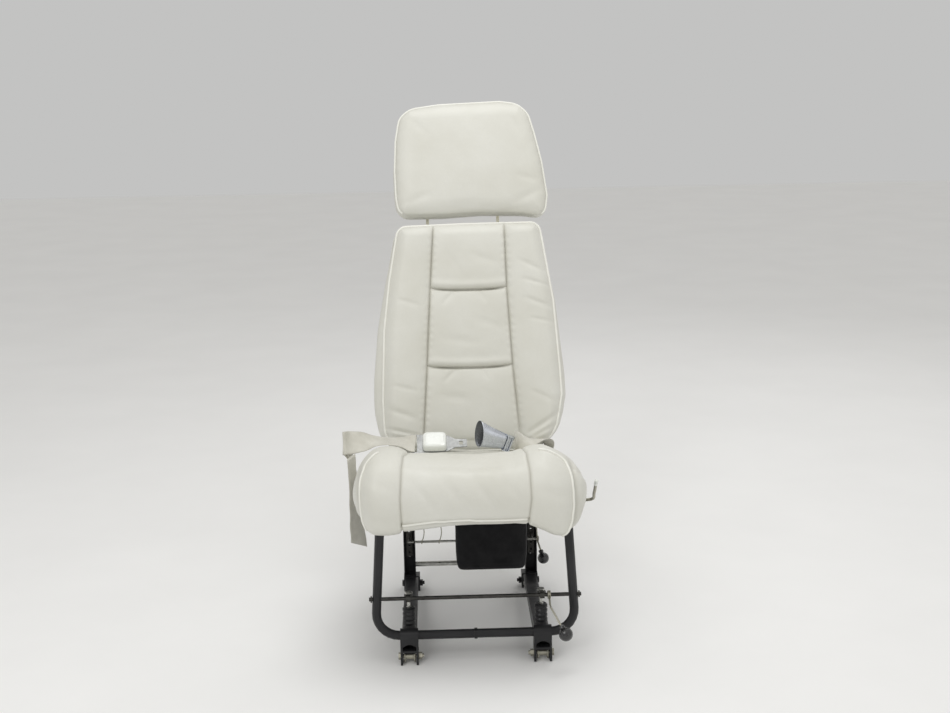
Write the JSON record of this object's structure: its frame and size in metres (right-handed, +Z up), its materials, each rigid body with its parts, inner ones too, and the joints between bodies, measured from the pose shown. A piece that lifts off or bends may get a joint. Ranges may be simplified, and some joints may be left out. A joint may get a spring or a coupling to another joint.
{
  "type": "aircraft crew seat",
  "caption": "Crew seat on track rollers with a tube base, tilting seat pan, reclining backrest, sliding headrest, lap belt and release levers.",
  "frame": {"origin": "on the floor, below the middle of the seat's bounding box", "axes": "+Z up, the occupant faces -Y, +X is the occupant's left"},
  "size_m": [0.5504, 0.7514, 1.111],
  "materials": {
    "black_fabric": "matt",
    "black_paint": "satin",
    "black_plastic": "gloss",
    "blue_grey_metal": "satin",
    "bright_steel": "satin",
    "cream_paint": "satin",
    "pale_leather": "satin",
    "webbing": "matt",
    "white_plastic": "gloss",
    "zinc_plate": "satin"
  },
  "bodies": {
    "base": {"front_u_tube": "black_paint", "tube_joint_ring": "black_paint", "front_bracket_left": "black_paint", "front_bracket_right": "black_paint", "rear_bracket_left": "black_paint", "rear_bracket_right": "black_paint", "front_axle_bolt_left": "zinc_plate", "front_axle_bolt_right": "zinc_plate", "side_rail_left": "black_paint", "side_rail_right": "black_paint", "rear_post_left": "black_paint", "rear_post_right": "black_paint", "plunger_housing_left": "black_paint", "plunger_housing_right": "black_paint", "rear_cross_tube": "bright_steel", "rear_tie_bar": "black_paint", "return_spring_1": "zinc_plate", "return_spring_2": "zinc_plate"},
    "front_roller_left_body": {"front_roller_left": "zinc_plate"},
    "front_roller_right_body": {"front_roller_right": "zinc_plate"},
    "rear_roller_left_body": {"rear_roller_left": "zinc_plate"},
    "rear_roller_right_body": {"rear_roller_right": "zinc_plate"},
    "track_release_body": {"torque_rod": "zinc_plate", "release_lever": "zinc_plate", "release_knob": "black_plastic"},
    "lock_plunger_left_body": {"lock_plunger_left": "bright_steel"},
    "lock_plunger_right_body": {"lock_plunger_right": "bright_steel"},
    "tilt_latch_body": {"latch_rod": "bright_steel", "tilt_lever": "zinc_plate", "tilt_knob": "black_plastic"},
    "seat_pan": {"pan_frame": "black_paint", "pan_sheet": "black_paint", "pan_pivot_bolt_left": "zinc_plate", "pan_pivot_bolt_right": "zinc_plate", "stowage_pouch": "black_fabric", "seat_cushion": "pale_leather", "hinge_bracket_left": "black_paint", "hinge_bracket_right": "black_paint", "recline_pivot_bolt_left": "zinc_plate", "recline_pivot_bolt_right": "zinc_plate", "recline_lock_cylinder": "zinc_plate", "lap_strap_left": "webbing", "lap_strap_right": "webbing", "strap_tail": "webbing", "belt_anchor_left": "zinc_plate", "belt_anchor_right": "zinc_plate", "belt_tongue": "bright_steel", "tongue_housing": "white_plastic", "buckle_body": "bright_steel"},
    "strip_left_body": {"adjusting_strip_left": "zinc_plate"},
    "strip_right_body": {"adjusting_strip_right": "zinc_plate"},
    "recline_lever_body": {"recline_lever": "zinc_plate", "recline_lever_tip": "white_plastic"},
    "lock_rod_body": {"recline_lock_rod": "bright_steel"},
    "backrest": {"back_cushion": "pale_leather", "back_frame": "black_paint", "back_shell": "pale_leather"},
    "headrest": {"headrest_posts": "cream_paint", "headrest_cushion": "pale_leather"},
    "buckle_cover_body": {"buckle_cover": "blue_grey_metal"}
  },
  "joints": [
    {"name": "front_roller_left_spin", "type": "hinge", "parent": "base", "child": "front_roller_left_body", "pos_m": [-0.1375, -0.279, 0.0145], "axis": [1, 0, 0], "continuous": true},
    {"name": "front_roller_right_spin", "type": "hinge", "parent": "base", "child": "front_roller_right_body", "pos_m": [0.1375, -0.279, 0.0145], "axis": [1, 0, 0], "continuous": true},
    {"name": "rear_roller_left_spin", "type": "hinge", "parent": "base", "child": "rear_roller_left_body", "pos_m": [-0.1375, 0.121, 0.0145], "axis": [1, 0, 0], "continuous": true},
    {"name": "rear_roller_right_spin", "type": "hinge", "parent": "base", "child": "rear_roller_right_body", "pos_m": [0.1375, 0.121, 0.0145], "axis": [1, 0, 0], "continuous": true},
    {"name": "track_release", "type": "hinge", "parent": "base", "child": "track_release_body", "pos_m": [0, -0.279, 0.141], "axis": [1, 0, 0], "range_deg": [0, 22], "stiffness_Nm_per_rad": 3, "springref_deg": -5.73},
    {"name": "lock_plunger_left_lift", "type": "slide", "parent": "base", "child": "lock_plunger_left_body", "axis": [0, 0, 1], "range_m": [0, 0.0138]},
    {"name": "lock_plunger_right_lift", "type": "slide", "parent": "base", "child": "lock_plunger_right_body", "axis": [0, 0, 1], "range_m": [0, 0.0138]},
    {"name": "tilt_latch", "type": "hinge", "parent": "base", "child": "tilt_latch_body", "pos_m": [0, 0.081, 0.13], "axis": [-1, 0, 0], "range_deg": [0, 25], "stiffness_Nm_per_rad": 1, "springref_deg": -8.59},
    {"name": "seat_tilt", "type": "hinge", "parent": "base", "child": "seat_pan", "pos_m": [0, -0.279, 0.312], "axis": [1, 0, 0], "range_deg": [0, 5]},
    {"name": "adjusting_strip_left_swing", "type": "hinge", "parent": "seat_pan", "child": "strip_left_body", "pos_m": [-0.1415, 0.11453, 0.20586], "axis": [1, 0, 0], "range_deg": [-5, 0]},
    {"name": "adjusting_strip_right_swing", "type": "hinge", "parent": "seat_pan", "child": "strip_right_body", "pos_m": [0.1415, 0.11453, 0.20586], "axis": [1, 0, 0], "range_deg": [-5, 0]},
    {"name": "backrest_recline", "type": "hinge", "parent": "seat_pan", "child": "backrest", "pos_m": [0, 0.12828, 0.2561], "axis": [-1, 0, 0], "range_deg": [0, 20]},
    {"name": "lock_rod_slide", "type": "slide", "parent": "seat_pan", "child": "lock_rod_body", "axis": [0, -0.9781, 0.2079], "range_m": [0, 0.0192]},
    {"name": "recline_lever_turn", "type": "hinge", "parent": "seat_pan", "child": "recline_lever_body", "pos_m": [0.17, 0.01053, 0.25046], "axis": [-1, 0, 0], "range_deg": [0, 18], "stiffness_Nm_per_rad": 0.8, "springref_deg": -8.59},
    {"name": "headrest_slide", "type": "slide", "parent": "backrest", "child": "headrest", "axis": [0, 0.2672, 0.9636], "range_m": [-0.015, 0.07]},
    {"name": "buckle_cover_lift", "type": "hinge", "parent": "seat_pan", "child": "buckle_cover_body", "pos_m": [0.081, -0.02826, 0.39263], "axis": [0.3584, 0, 0.9336], "range_deg": [0, 45], "stiffness_Nm_per_rad": 0.15, "springref_deg": -11.46}
  ],
  "couplings": [
    {"joint": "lock_plunger_left_lift", "follows": "track_release", "m_per_rad": 0.03578},
    {"joint": "lock_plunger_right_lift", "follows": "track_release", "m_per_rad": 0.03578},
    {"joint": "adjusting_strip_left_swing", "follows": "seat_tilt", "ratio": -1},
    {"joint": "adjusting_strip_right_swing", "follows": "seat_tilt", "ratio": -1},
    {"joint": "lock_rod_slide", "follows": "backrest_recline", "m_per_rad": 0.05472}
  ]
}
